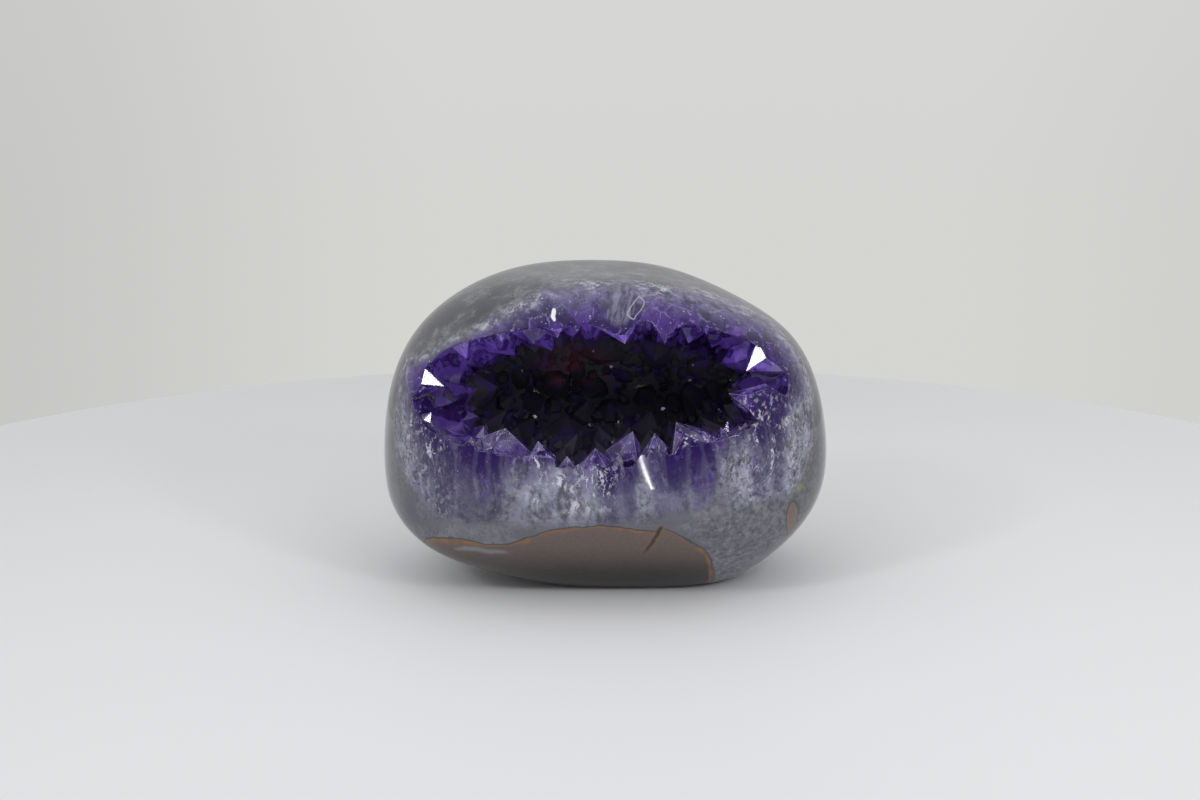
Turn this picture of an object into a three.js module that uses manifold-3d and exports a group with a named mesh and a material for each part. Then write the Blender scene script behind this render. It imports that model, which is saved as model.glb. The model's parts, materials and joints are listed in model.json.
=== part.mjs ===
// A polished amethyst geode. The stone is a nodule that was ground and polished all over into a rounded
// block, which stands on a flat base. Its hollow opens through the front, lined with a crust of amethyst
// points that grew together. The polish cuts through stone and crust alike round the opening.
// Millimetres, +Z up. The front faces -Y. The origin is on the base, under the middle of the stone.

import * as THREE from "three";
import { mergeVertices } from "three/addons/utils/BufferGeometryUtils.js";
import Module from "manifold-3d";

const wasm = await Module();
wasm.setup();

// ---- The polished outside ----------------------------------------------------------------------------

// The middle of the stone stands this far above the flat base.
const MIDDLE = new THREE.Vector3(0, 0, 37.5);

// How far from the middle each ground face lies. A row of faces goes round the stone in steps of 45
// degrees, from its start by way of the right side. The front is at 0.
const TOP_REACH = 39;
const FACE_ROWS = [
  { elevation: 45, start: 0, reaches: [43.5, 50, 52, 45, 42.5, 47.5, 52.5, 49.5] },
  { elevation: 0, start: 0, reaches: [45.5, 53, 60, 50, 43.5, 50, 59, 55.5] },
  { elevation: 0, start: 22.5, reaches: [49.5, 56.5, 56, 48, 48, 56, 56.5, 49.5] },
  { elevation: -45, start: 0, reaches: [42.5, 52, 53, 49, 43, 50, 62, 59] },
];
const BOTTOM_REACH = 39;

// Single faces between the rows: one on the front, which leans back round the opening, and four on each
// end.
const SINGLE_FACES = [
  { azimuth: 0, elevation: 20, reach: 41.3 },
  { azimuth: 90, elevation: 67, reach: 42.5 },
  { azimuth: 90, elevation: 22, reach: 54.5 },
  { azimuth: 90, elevation: -22, reach: 66 },
  { azimuth: 90, elevation: -67, reach: 55.5 },
  { azimuth: 270, elevation: 67, reach: 46.5 },
  { azimuth: 270, elevation: 22, reach: 55.5 },
  { azimuth: 270, elevation: -22, reach: 62 },
  { azimuth: 270, elevation: -67, reach: 42 },
];

// A higher number makes the ground faces flatter and the edges between them tighter.
const EDGE_TIGHTNESS = 16;

// ---- The hollow and the space inside it --------------------------------------------------------------

// Each oval has a reach of its own each way from its middle. A power of 2 makes it an ellipsoid, and more
// makes it squarer. The tilt, in degrees, lifts its right end. The crust is rooted on the wall of the
// hollow. The space that its tips leave is a wide, flaring mouth and a narrower chamber behind it.
const HOLLOW = {
  middle: [0, -18, 44], tilt: 0, left: 50.5, right: 50.5, front: 38, back: 44, down: 38, up: 29, power: 2.3,
};
const MOUTH = {
  middle: [-2, -38, 53.5], tilt: 3, left: 45, right: 47, front: 40, back: 25, down: 12.5, up: 12.5, power: 2.3,
};
const CHAMBER = {
  middle: [-1, -15, 50], tilt: 3, left: 30, right: 32, front: 30, back: 25, down: 16, up: 11, power: 2.4,
};
const SPACES = [MOUTH, CHAMBER];

// The hollow's bottom is level, this far above the base.
const HOLLOW_FLOOR = 22.5;

// Solid quartz fills the crust up to this far behind the tips, and is nowhere thinner than this.
const MASSIVE_DEPTHS = [2.3, 4.5];
const THINNEST_CRUST = 3;

// Clearance between the crust and the wall of the hollow.
const SEAT_GAP = 0.35;

// ---- The crystals ------------------------------------------------------------------------------------

// The points that stand out along the opening's edge: where the tip is, and half the crystal's width. The
// first row stands along the lower edge, then come the right end, the left end and the upper edge.
const EDGE_POINTS = [
  { tip: [-39, -32.5, 41.2], radius: 4.6 },
  { tip: [-31.5, -37.2, 42.3], radius: 4.6 },
  { tip: [-23.4, -38.8, 44.7], radius: 5.8 },
  { tip: [-15.7, -40, 41.9], radius: 4 },
  { tip: [-8.9, -41.2, 38.6], radius: 4.4 },
  { tip: [-2.4, -41, 40.4], radius: 4.2 },
  { tip: [6.4, -40, 44.2], radius: 5 },
  { tip: [16.6, -39, 46.2], radius: 6 },
  { tip: [22.8, -38.8, 44], radius: 5 },
  { tip: [29, -34, 52], radius: 6 },
  { tip: [33.5, -27.5, 56], radius: 6.4 },
  { tip: [-41.5, -27.5, 46], radius: 6 },
  { tip: [-38.5, -26, 52], radius: 6.6 },
  { tip: [-24.5, -29, 63.3], radius: 5 },
  { tip: [-11.3, -29.5, 64.5], radius: 5.6 },
  { tip: [4.6, -30.5, 63.2], radius: 5.4 },
  { tip: [14, -30, 63.2], radius: 5 },
  { tip: [24, -27.5, 64.8], radius: 5.4 },
];

// The rest are set wherever there is room, the largest first.
const CROPS = [
  { radius: 5.8, tries: 4000 },
  { radius: 4.2, tries: 4000 },
];

const SEED = 11;
const RADIUS_SPREAD = 0.2; // share by which crystals of one crop differ in width
const CLOSENESS = 0.64; // spacing of two tips, over the sum of their radii
const LEAN = 0.3; // how far a crystal leans out of the wall's own direction
const SEAM_OVERLAP = 1; // how far the tips of mouth and chamber run on into each other's space
const TIP_SPREAD = 1.8; // how far tips stand proud of the space's oval, or behind it
const TIP_RATIO = 1.15; // height of the pyramid over the radius of the prism
const RIM_MARGIN = 2; // crystals are set up to this far outside the polished face, which then cuts them
const FOOT_COVER = 1.5; // massive quartz between a crystal's foot and the hollow's wall
const SIDES = 6;

// ---- How finely the round forms are faceted ----------------------------------------------------------

const STONE_DETAIL = 10;
const HOLLOW_DETAIL = 5;
const SPACE_DETAIL = 4;

// A repeatable run of numbers from 0 to 1.
function seededRandom(seed) {
  let state = seed;
  return () => {
    state = (state * 1664525 + 1013904223) % 4294967296;
    return state / 4294967296;
  };
}

// The unit vector at an azimuth, which is 0 at the front and 90 at the right, and an elevation.
function direction(azimuth, elevation) {
  const a = THREE.MathUtils.degToRad(azimuth);
  const e = THREE.MathUtils.degToRad(elevation);
  return new THREE.Vector3(Math.cos(e) * Math.sin(a), -Math.cos(e) * Math.cos(a), Math.sin(e));
}

// Every ground face, as the direction that it faces and its distance from the middle.
function groundFaces() {
  const faces = [
    { facing: direction(0, 90), reach: TOP_REACH },
    { facing: direction(0, -90), reach: BOTTOM_REACH },
  ];
  for (const { elevation, start, reaches } of FACE_ROWS) {
    reaches.forEach((reach, i) => faces.push({ facing: direction(start + 45 * i, elevation), reach }));
  }
  for (const { azimuth, elevation, reach } of SINGLE_FACES) {
    faces.push({ facing: direction(azimuth, elevation), reach });
  }
  return faces;
}

const FACES = groundFaces();

// 1 on the polished outside, less inside it and more beyond it: the ground faces, with blended edges.
function stoneLevel(point) {
  const out = point.clone().sub(MIDDLE);
  const sum = FACES.reduce(
    (total, { facing, reach }) => total + Math.max(0, facing.dot(out) / reach) ** EDGE_TIGHTNESS,
    0,
  );
  return sum ** (1 / EDGE_TIGHTNESS);
}

// How far a point stands outside the polish, or less than 0 inside it.
function outside(point) {
  return (1 - 1 / stoneLevel(point)) * MIDDLE.distanceTo(point);
}

// The distance from the middle to the polished outside, along a unit vector.
function stoneReach(unit) {
  return 1 / stoneLevel(unit.clone().add(MIDDLE));
}

// A vector turned so that its right end rises.
function tilted(vector, degrees) {
  const cos = Math.cos(THREE.MathUtils.degToRad(degrees));
  const sin = Math.sin(THREE.MathUtils.degToRad(degrees));
  return new THREE.Vector3(cos * vector.x - sin * vector.z, vector.y, sin * vector.x + cos * vector.z);
}

// How far the oval reaches along x, y and z on the side that a vector from its middle points to.
function ovalReaches(oval, out) {
  return new THREE.Vector3(
    out.x < 0 ? oval.left : oval.right,
    out.y < 0 ? oval.front : oval.back,
    out.z < 0 ? oval.down : oval.up,
  );
}

// The sum that is 1 on an oval of unit reaches, 0 in its middle and more beyond it.
function powerSum(vector, power) {
  return vector.toArray().reduce((total, part) => total + Math.abs(part) ** power, 0);
}

// A unit vector stretched on to an oval that is grown by the same amount each way.
function onOval(oval, unit, grow = 0) {
  const onUnitOval = unit.clone().divideScalar(powerSum(unit, oval.power) ** (1 / oval.power));
  const reaches = ovalReaches(oval, unit).addScalar(grow);
  return new THREE.Vector3(...oval.middle).add(tilted(onUnitOval.multiply(reaches), oval.tilt));
}

// A point as a vector from the oval's middle, along the oval's own axes.
function fromMiddle(oval, point) {
  return tilted(point.clone().sub(new THREE.Vector3(...oval.middle)), -oval.tilt);
}

// Whether a point is inside an oval that is grown by the same amount each way.
function inOval(oval, point, grow = 0) {
  const out = fromMiddle(oval, point);
  return powerSum(out.divide(ovalReaches(oval, out).addScalar(grow)), oval.power) < 1;
}

// The direction into the oval from a point on it.
function inward(oval, point) {
  const out = fromMiddle(oval, point);
  const reaches = ovalReaches(oval, out);
  const slope = (part, reach) => (-Math.sign(part) * Math.abs(part / reach) ** (oval.power - 1)) / reach;
  const slopes = new THREE.Vector3(slope(out.x, reaches.x), slope(out.y, reaches.y), slope(out.z, reaches.z));
  return tilted(slopes, oval.tilt).normalize();
}

// A closed three.js geometry as a solid that can be joined and cut.
function solidOf(geometry) {
  const bare = geometry.clone();
  bare.deleteAttribute("normal");
  bare.deleteAttribute("uv");
  const merged = mergeVertices(bare, 1e-4);
  return new wasm.Manifold(
    new wasm.Mesh({
      numProp: 3,
      vertProperties: merged.attributes.position.array,
      triVerts: new Uint32Array(merged.index.array),
    }),
  );
}

// A ball of even triangles, each corner of which is moved to where place puts its unit vector.
function roundSolid(detail, place) {
  const geometry = new THREE.IcosahedronGeometry(1, detail);
  const position = geometry.attributes.position;
  const corner = new THREE.Vector3();
  for (let i = 0; i < position.count; i++) {
    const placed = place(corner.fromBufferAttribute(position, i).normalize());
    position.setXYZ(i, placed.x, placed.y, placed.z);
  }
  return solidOf(geometry);
}

// Everything under a height.
function below(height) {
  return solidOf(new THREE.BoxGeometry(300, 300, 100).translate(0, 0, height - 50));
}

// The whole stone's outside, cut flat at the base.
function polishedForm() {
  const form = roundSolid(STONE_DETAIL, (unit) =>
    MIDDLE.clone().addScaledVector(unit, stoneReach(unit)),
  );
  return form.subtract(below(0));
}

// The hollow, made smaller all round by a clearance.
function hollowForm(clearance) {
  const oval = roundSolid(HOLLOW_DETAIL, (unit) => onOval(HOLLOW, unit, -clearance));
  return oval.subtract(below(HOLLOW_FLOOR + clearance));
}

// One crystal: a six-sided prism with its tip at the origin, pointing along +Z. The pyramid's faces are
// uneven, because its peak stands off the middle and its shoulders differ in height.
function crystalGeometry({ radius, length, stretch, peak, shoulders }) {
  const corners = [];
  for (let level = 0; level < 2; level++) {
    for (let i = 0; i < SIDES; i++) {
      const angle = (i * 2 * Math.PI) / SIDES;
      const drop = level === 0 ? -length : -radius * TIP_RATIO * shoulders[i];
      corners.push(
        radius * stretch * Math.cos(angle) - peak[0],
        (radius / stretch) * Math.sin(angle) - peak[1],
        drop,
      );
    }
  }
  corners.push(0, 0, 0);
  const tip = 2 * SIDES;
  const triangles = [];
  for (let i = 0; i < SIDES; i++) {
    const next = (i + 1) % SIDES;
    triangles.push(i, next, SIDES + next, i, SIDES + next, SIDES + i);
    triangles.push(SIDES + i, SIDES + next, tip);
    if (i > 0 && i < SIDES - 1) triangles.push(0, i + 1, i);
  }
  const geometry = new THREE.BufferGeometry();
  geometry.setAttribute("position", new THREE.Float32BufferAttribute(corners, 3));
  geometry.setIndex(triangles);
  return geometry;
}

// How long a crystal is, so that its foot stops short of the hollow's wall, but never reaches up into its
// own pyramid.
function crystalLength(tip, axis, radius) {
  let length = 1.5 * TIP_RATIO * radius;
  const foot = () => tip.clone().addScaledVector(axis, -length - FOOT_COVER);
  while (inOval(HOLLOW, foot()) && foot().z > HOLLOW_FLOOR) length += 0.5;
  return length;
}

// Draws everything that differs from one crystal to the next, for a tip at a point of an oval.
function drawCrystal(random, oval, tip, radius) {
  const signed = () => 2 * random() - 1;
  const axis = inward(oval, tip);
  axis.add(new THREE.Vector3(signed(), signed(), signed()).multiplyScalar(LEAN)).normalize();
  return {
    tip,
    axis,
    radius,
    length: crystalLength(tip, axis, radius),
    twist: random() * Math.PI,
    stretch: 1 + 0.2 * signed(),
    peak: [0.3 * radius * signed(), 0.3 * radius * signed()],
    shoulders: Array.from({ length: SIDES }, () => 1 + 0.22 * signed()),
  };
}

// Every crystal of the crust. Two crystals never stand too close, so each crop fills the room left.
function growCrystals() {
  const random = seededRandom(SEED);
  const grown = EDGE_POINTS.map(({ tip, radius }) =>
    drawCrystal(random, MOUTH, new THREE.Vector3(...tip), radius),
  );
  for (const crop of CROPS) {
    for (let i = 0; i < crop.tries; i++) {
      const oval = SPACES[i % 2];
      const other = SPACES[(i + 1) % 2];
      const up = 2 * random() - 1;
      const turn = 2 * Math.PI * random();
      const across = Math.sqrt(1 - up * up);
      const unit = new THREE.Vector3(across * Math.cos(turn), across * Math.sin(turn), up);
      const radius = crop.radius * (1 + RADIUS_SPREAD * (2 * random() - 1));
      const tip = onOval(oval, unit, TIP_SPREAD * (2 * random() - 1));
      const crowded = grown.some(
        (near) => near.tip.distanceTo(tip) < CLOSENESS * (near.radius + radius),
      );
      if (crowded || inOval(other, tip, -SEAM_OVERLAP) || outside(tip) > RIM_MARGIN) continue;
      grown.push(drawCrystal(random, oval, tip, radius));
    }
  }
  return grown;
}

// A crystal set in its place, tip and all.
function crystalSolid(crystal) {
  const turn = new THREE.Quaternion().setFromUnitVectors(new THREE.Vector3(0, 0, 1), crystal.axis);
  turn.multiply(
    new THREE.Quaternion().setFromAxisAngle(new THREE.Vector3(0, 0, 1), crystal.twist),
  );
  const geometry = crystalGeometry(crystal);
  geometry.applyQuaternion(turn).translate(crystal.tip.x, crystal.tip.y, crystal.tip.z);
  return solidOf(geometry);
}

// The stone with its hollow.
function stoneSolid(form) {
  return form.subtract(hollowForm(0));
}

// The crust: massive quartz with the crystals on it, cut by the hollow's wall and by the polish. The cut
// can leave a crumb of a crystal that touches nothing, so only the largest piece is kept.
function crustSolid(form) {
  const seat = hollowForm(SEAT_GAP);
  const rooms = SPACES.map((oval, i) =>
    roundSolid(SPACE_DETAIL, (unit) => onOval(oval, unit, MASSIVE_DEPTHS[i])),
  );
  const room = wasm.Manifold.union(rooms).intersect(hollowForm(SEAT_GAP + THINNEST_CRUST));
  const massive = seat.subtract(room);
  const crystals = wasm.Manifold.union(growCrystals().map(crystalSolid));
  const pieces = massive.add(crystals).intersect(seat).intersect(form).decompose();
  return pieces.reduce((largest, piece) => (piece.volume() > largest.volume() ? piece : largest));
}

// A solid as a named mesh with flat faces.
function meshOf(name, solid, finish) {
  const { numProp, vertProperties, triVerts } = solid.getMesh();
  const geometry = new THREE.BufferGeometry();
  geometry.setAttribute("position", new THREE.BufferAttribute(vertProperties, numProp));
  geometry.setIndex(new THREE.BufferAttribute(triVerts, 1));
  geometry.computeVertexNormals();
  const mesh = new THREE.Mesh(geometry, new THREE.MeshStandardMaterial({ flatShading: true, ...finish }));
  mesh.name = name;
  return mesh;
}

const form = polishedForm();
const geode = new THREE.Group();
geode.add(
  meshOf("stone", stoneSolid(form), { color: 0x74737a, roughness: 0.2, metalness: 0 }),
  meshOf("amethyst_crust", crustSolid(form), { color: 0x44307a, roughness: 0.12, metalness: 0 }),
);

export default geode;
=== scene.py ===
"""The dressed amethyst geode: a stone ground and polished all over, and the crystal crust in its hollow.

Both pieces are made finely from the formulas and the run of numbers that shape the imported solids, so they
fill the same space. Sizes are in millimetres in the classes, and the meshes are in metres. The front
faces -Y, and the stone stands on its flat base at height 0.
"""

from __future__ import annotations

import json
import logging
import math
from collections.abc import Callable, Mapping, Sequence
from dataclasses import dataclass, field, replace
from enum import Enum
import bmesh
import bpy
import numpy as np
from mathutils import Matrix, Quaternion, Vector

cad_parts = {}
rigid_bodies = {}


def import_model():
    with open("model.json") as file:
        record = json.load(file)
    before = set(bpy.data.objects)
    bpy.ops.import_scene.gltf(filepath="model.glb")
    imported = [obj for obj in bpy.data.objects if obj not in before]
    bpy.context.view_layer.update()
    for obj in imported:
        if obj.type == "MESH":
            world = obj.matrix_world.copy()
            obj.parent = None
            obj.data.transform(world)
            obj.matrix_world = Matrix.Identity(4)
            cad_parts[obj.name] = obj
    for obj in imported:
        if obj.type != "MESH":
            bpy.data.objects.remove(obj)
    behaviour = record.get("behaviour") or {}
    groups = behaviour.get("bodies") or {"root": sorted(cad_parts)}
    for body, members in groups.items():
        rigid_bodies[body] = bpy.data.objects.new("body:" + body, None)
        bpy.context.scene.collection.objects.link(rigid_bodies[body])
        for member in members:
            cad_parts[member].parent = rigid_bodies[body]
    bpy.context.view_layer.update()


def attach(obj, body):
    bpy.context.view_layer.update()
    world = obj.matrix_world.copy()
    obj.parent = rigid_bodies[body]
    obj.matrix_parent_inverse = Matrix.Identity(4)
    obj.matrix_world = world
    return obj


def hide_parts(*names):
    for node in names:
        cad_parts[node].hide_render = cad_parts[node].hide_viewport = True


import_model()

LOG = logging.getLogger("geode")
METRES = 0.001
UP = Vector((0.0, 0.0, 1.0))

Triple = tuple[float, float, float]


# ---- Forms -------------------------------------------------------------------------------------------


def facing(azimuth: float, elevation: float) -> np.ndarray:
    """The unit vector at so many degrees round the stone, from front to right, and above the horizon."""
    a, e = math.radians(azimuth), math.radians(elevation)
    return np.array([math.cos(e) * math.sin(a), -math.cos(e) * math.cos(a), math.sin(e)])


@dataclass(frozen=True)
class GroundFace:
    """One ground face: where it looks, in degrees, and how far from the stone's middle it lies."""

    azimuth: float
    elevation: float
    reach: float


def face_row(elevation: float, start: float, reaches: Sequence[float]) -> tuple[GroundFace, ...]:
    """A row of faces in steps of 45 degrees round the stone, from a start azimuth."""
    return tuple(GroundFace(start + 45 * i, elevation, reach) for i, reach in enumerate(reaches))


@dataclass(frozen=True)
class PolishedForm:
    """The stone's outside: ground faces whose edges blend into each other."""

    middle: Triple = (0.0, 0.0, 37.5)
    tightness: float = 16.0
    faces: tuple[GroundFace, ...] = (
        GroundFace(0, 90, 39),
        GroundFace(0, -90, 39),
        *face_row(45, 0, (43.5, 50, 52, 45, 42.5, 47.5, 52.5, 49.5)),
        *face_row(0, 0, (45.5, 53, 60, 50, 43.5, 50, 59, 55.5)),
        *face_row(0, 22.5, (49.5, 56.5, 56, 48, 48, 56, 56.5, 49.5)),
        *face_row(-45, 0, (42.5, 52, 53, 49, 43, 50, 62, 59)),
        GroundFace(0, 20, 41.3),
        GroundFace(90, 67, 42.5),
        GroundFace(90, 22, 54.5),
        GroundFace(90, -22, 66),
        GroundFace(90, -67, 55.5),
        GroundFace(270, 67, 46.5),
        GroundFace(270, 22, 55.5),
        GroundFace(270, -22, 62),
        GroundFace(270, -67, 42),
    )

    def levels(self, out: np.ndarray) -> np.ndarray:
        """1 on the outside, less inside it and more beyond it.

        Args:
            out: Vectors from the middle, one to a row.

        Returns:
            One level for each row.
        """
        scaled = np.array([facing(f.azimuth, f.elevation) / f.reach for f in self.faces])
        shares = np.maximum(0.0, out @ scaled.T) ** self.tightness
        return shares.sum(axis=1) ** (1 / self.tightness)

    def outside(self, points: np.ndarray) -> np.ndarray:
        """How far points stand outside the polish, or less than 0 inside it."""
        out = points - np.array(self.middle)
        return (1 - 1 / self.levels(out)) * np.linalg.norm(out, axis=1)

    def place(self, units: np.ndarray) -> np.ndarray:
        """The points of the outside along unit vectors from the middle."""
        return np.array(self.middle) + units / self.levels(units)[:, None]


@dataclass(frozen=True)
class Oval:
    """A round form with a reach of its own each way from its middle. More power makes it squarer.

    Its tilt, in degrees, lifts its right end.
    """

    middle: Triple
    left: float
    right: float
    front: float
    back: float
    down: float
    up: float
    power: float
    tilt: float = 0.0

    def tilted(self, vectors: np.ndarray, way: int = 1) -> np.ndarray:
        """Vectors turned by the tilt, or turned back.

        Args:
            vectors: One vector to a row, or one vector.
            way: 1 to turn, -1 to turn back.

        Returns:
            The turned vectors.
        """
        angle = math.radians(self.tilt * way)
        cos, sin = math.cos(angle), math.sin(angle)
        x, y, z = vectors[..., 0], vectors[..., 1], vectors[..., 2]
        return np.stack([cos * x - sin * z, y, sin * x + cos * z], axis=-1)

    def reaches(self, out: np.ndarray) -> np.ndarray:
        """The reach along each axis on the side that each vector points to.

        Args:
            out: One vector to a row, or one vector.

        Returns:
            Three reaches for each vector.
        """
        low = np.array([self.left, self.front, self.down])
        high = np.array([self.right, self.back, self.up])
        return np.where(out < 0, low, high)

    def place(self, units: np.ndarray, grow: float | np.ndarray = 0.0) -> np.ndarray:
        """Unit vectors stretched on to the oval.

        Args:
            units: One unit vector to a row.
            grow: How much farther than the oval the points lie.

        Returns:
            The points, one to a row.
        """
        sums = (np.abs(units) ** self.power).sum(axis=1, keepdims=True)
        reaches = self.reaches(units) + np.reshape(grow, (-1, 1))
        return np.array(self.middle) + self.tilted(units / sums ** (1 / self.power) * reaches)

    def levels(self, points: np.ndarray, grow: float = 0.0) -> np.ndarray:
        """1 on the oval, less inside it and more beyond it.

        Args:
            points: One point to a row, or one point.
            grow: How much farther the oval is taken to reach.

        Returns:
            One level for each point.
        """
        out = self.tilted(points - np.array(self.middle), -1)
        shares = np.abs(out / (self.reaches(out) + grow)) ** self.power
        return shares.sum(axis=-1) ** (1 / self.power)

    def holds(self, point: np.ndarray, grow: float = 0.0) -> bool:
        """Whether a point is inside, or inside the oval grown by so much."""
        return bool(self.levels(point, grow) < 1)

    def inward(self, point: np.ndarray) -> np.ndarray:
        """Which way the inside lies.

        Args:
            point: A point on the oval.

        Returns:
            The unit vector into the oval.
        """
        out = self.tilted(point - np.array(self.middle), -1)
        reach = self.reaches(out)
        slope = -np.sign(out) * np.abs(out / reach) ** (self.power - 1) / reach
        return self.tilted(slope / np.linalg.norm(slope))


HOLLOW = Oval((0, -18, 44), left=50.5, right=50.5, front=38, back=44, down=38, up=29, power=2.3)
MOUTH = Oval((-2, -38, 53.5), left=45, right=47, front=40, back=25, down=12.5, up=12.5, power=2.3, tilt=3)
CHAMBER = Oval((-1, -15, 50), left=30, right=32, front=30, back=25, down=16, up=11, power=2.4, tilt=3)
SPACES = (MOUTH, CHAMBER)
HOLLOW_FLOOR = 22.5
FORM = PolishedForm()


# ---- Meshes ------------------------------------------------------------------------------------------


def mesh_object(
    name: str, points: np.ndarray, faces: Sequence[Sequence[int]] | np.ndarray
) -> bpy.types.Object:
    """An object in the scene from points in millimetres.

    Args:
        name: The object's name.
        points: One point to a row.
        faces: The corners of each face.

    Returns:
        The new object.
    """
    mesh = bpy.data.meshes.new(name)
    mesh.from_pydata((points * METRES).tolist(), [], [list(map(int, face)) for face in faces])
    thing = bpy.data.objects.new(name, mesh)
    bpy.context.scene.collection.objects.link(thing)
    return thing


def ball(name: str, subdivisions: int, place: Callable[[np.ndarray], np.ndarray]) -> bpy.types.Object:
    """A ball of even triangles whose corners are moved by a function.

    Args:
        name: The object's name.
        subdivisions: How finely the ball is divided.
        place: Turns unit vectors into points in millimetres.

    Returns:
        The new object.
    """
    bpy.ops.mesh.primitive_ico_sphere_add(subdivisions=subdivisions, radius=1.0)
    thing = bpy.context.active_object
    thing.name = thing.data.name = name
    flat = np.zeros(len(thing.data.vertices) * 3)
    thing.data.vertices.foreach_get("co", flat)
    units = flat.reshape(-1, 3)
    units /= np.linalg.norm(units, axis=1, keepdims=True)
    thing.data.vertices.foreach_set("co", (place(units) * METRES).ravel())
    return thing


def block_below(height: float) -> bpy.types.Object:
    """Everything under a height, as a wide block.

    Args:
        height: The height, in millimetres.

    Returns:
        The new object.
    """
    half, low = 150.0, -100.0
    sides = [(x, y) for x, y in ((-half, -half), (half, -half), (half, half), (-half, half))]
    points = np.array([(x, y, low) for x, y in sides] + [(x, y, height) for x, y in sides])
    faces = [(3, 2, 1, 0), (4, 5, 6, 7), *((i, (i + 1) % 4, 4 + (i + 1) % 4, 4 + i) for i in range(4))]
    return mesh_object("block", points, faces)


class Join(Enum):
    """How one closed mesh is joined with another."""

    ADD = "UNION"
    CUT = "DIFFERENCE"
    KEEP_COMMON = "INTERSECT"


def combine(
    thing: bpy.types.Object, join: Join, other: bpy.types.Object | bpy.types.Collection
) -> bpy.types.Object:
    """Joins a closed mesh with another, or with every mesh of a collection, which are used up.

    Args:
        thing: The object that is changed.
        join: What is done.
        other: The object or collection that is added, cut away or shared.

    Returns:
        The changed object.
    """
    modifier = thing.modifiers.new(join.name, "BOOLEAN")
    modifier.solver = "MANIFOLD"
    modifier.operation = join.value
    if isinstance(other, bpy.types.Collection):
        modifier.operand_type = "COLLECTION"
        modifier.collection = other
        used = list(other.objects)
    else:
        modifier.object = other
        used = [other]
    view = bpy.context.evaluated_depsgraph_get()
    made = bpy.data.meshes.new_from_object(thing.evaluated_get(view))
    thing.modifiers.clear()
    thing.data = made
    for spent in used:
        bpy.data.meshes.remove(spent.data)
    if isinstance(other, bpy.types.Collection):
        bpy.data.collections.remove(other)
    return thing


def keep_largest(mesh: bpy.types.Mesh) -> None:
    """Deletes every loose piece of a mesh but the one with the most vertices.

    Args:
        mesh: The mesh that is changed.
    """
    group = np.arange(len(mesh.vertices))
    ends = np.zeros(len(mesh.edges) * 2, dtype=np.int64)
    mesh.edges.foreach_get("vertices", ends)
    first, second = ends.reshape(-1, 2).T
    while True:
        lowest = np.minimum(group[first], group[second])
        np.minimum.at(group, first, lowest)
        np.minimum.at(group, second, lowest)
        group = group[group]
        if np.array_equal(group[first], group[second]):
            break
    names, counts = np.unique(group, return_counts=True)
    if len(names) > 1:
        work = bmesh.new()
        work.from_mesh(mesh)
        main = names[counts.argmax()]
        loose = [vertex for vertex, label in zip(work.verts, group) if label != main]
        bmesh.ops.delete(work, geom=loose, context="VERTS")
        work.to_mesh(mesh)
        work.free()


# ---- Crystals ----------------------------------------------------------------------------------------


class SeededRandom:
    """A repeatable run of numbers from 0 to 1."""

    MULTIPLIER = 1664525
    INCREMENT = 1013904223
    MODULUS = 2**32

    def __init__(self, seed: int) -> None:
        """Starts the run, which a whole number settles."""
        self.state = seed

    def share(self) -> float:
        """The next number, from 0 to 1."""
        self.state = (self.state * self.MULTIPLIER + self.INCREMENT) % self.MODULUS
        return self.state / self.MODULUS

    def signed(self) -> float:
        """The next number, from -1 to 1."""
        return 2 * self.share() - 1


@dataclass(frozen=True)
class Crystal:
    """One six-sided point. Its pyramid is uneven, as its peak stands off the middle."""

    tip: np.ndarray
    axis: np.ndarray
    radius: float
    length: float
    twist: float
    stretch: float
    peak: tuple[float, float]
    shoulders: tuple[float, ...]

    SIDES = 6
    TIP_RATIO = 1.15

    def points(self) -> np.ndarray:
        """The foot's corners, the shoulders and the tip, in millimetres."""
        feet = [-self.length] * self.SIDES
        shoulders = [-self.radius * self.TIP_RATIO * shoulder for shoulder in self.shoulders]
        corners = []
        for i, height in enumerate(feet + shoulders):
            angle = i % self.SIDES * 2 * math.pi / self.SIDES
            x = self.radius * self.stretch * math.cos(angle) - self.peak[0]
            y = self.radius / self.stretch * math.sin(angle) - self.peak[1]
            corners.append(Vector((x, y, height)))
        corners.append(Vector((0.0, 0.0, 0.0)))
        turn = UP.rotation_difference(Vector(self.axis)) @ Quaternion(UP, self.twist)
        return np.array([turn @ corner for corner in corners]) + self.tip

    @classmethod
    def faces(cls) -> list[tuple[int, ...]]:
        """The foot, the sides and the pyramid."""
        made: list[tuple[int, ...]] = [tuple(range(cls.SIDES - 1, -1, -1))]
        for i in range(cls.SIDES):
            following = (i + 1) % cls.SIDES
            made.append((i, following, cls.SIDES + following, cls.SIDES + i))
            made.append((cls.SIDES + i, cls.SIDES + following, 2 * cls.SIDES))
        return made

    def turned(self, look: Triple) -> Crystal:
        """The same crystal with an even pyramid, one face of which looks in a direction.

        Args:
            look: The direction, as a unit vector.

        Returns:
            The turned crystal.
        """
        apothem = math.cos(math.pi / self.SIDES)
        lean = math.atan2(self.TIP_RATIO, apothem)
        normal = Vector(look).normalized()
        across = Vector(self.axis) - normal * normal.dot(Vector(self.axis))
        axis = normal * math.cos(lean) + across.normalized() * math.sin(lean)
        outward = UP.rotation_difference(axis).inverted() @ (normal - axis * math.cos(lean))
        twist = math.atan2(outward.y, outward.x) - math.pi / self.SIDES
        even = (1.0,) * self.SIDES
        turned = replace(self, axis=np.array(axis), twist=twist)
        return replace(turned, stretch=1.0, peak=(0.0, 0.0), shoulders=even)


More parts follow.
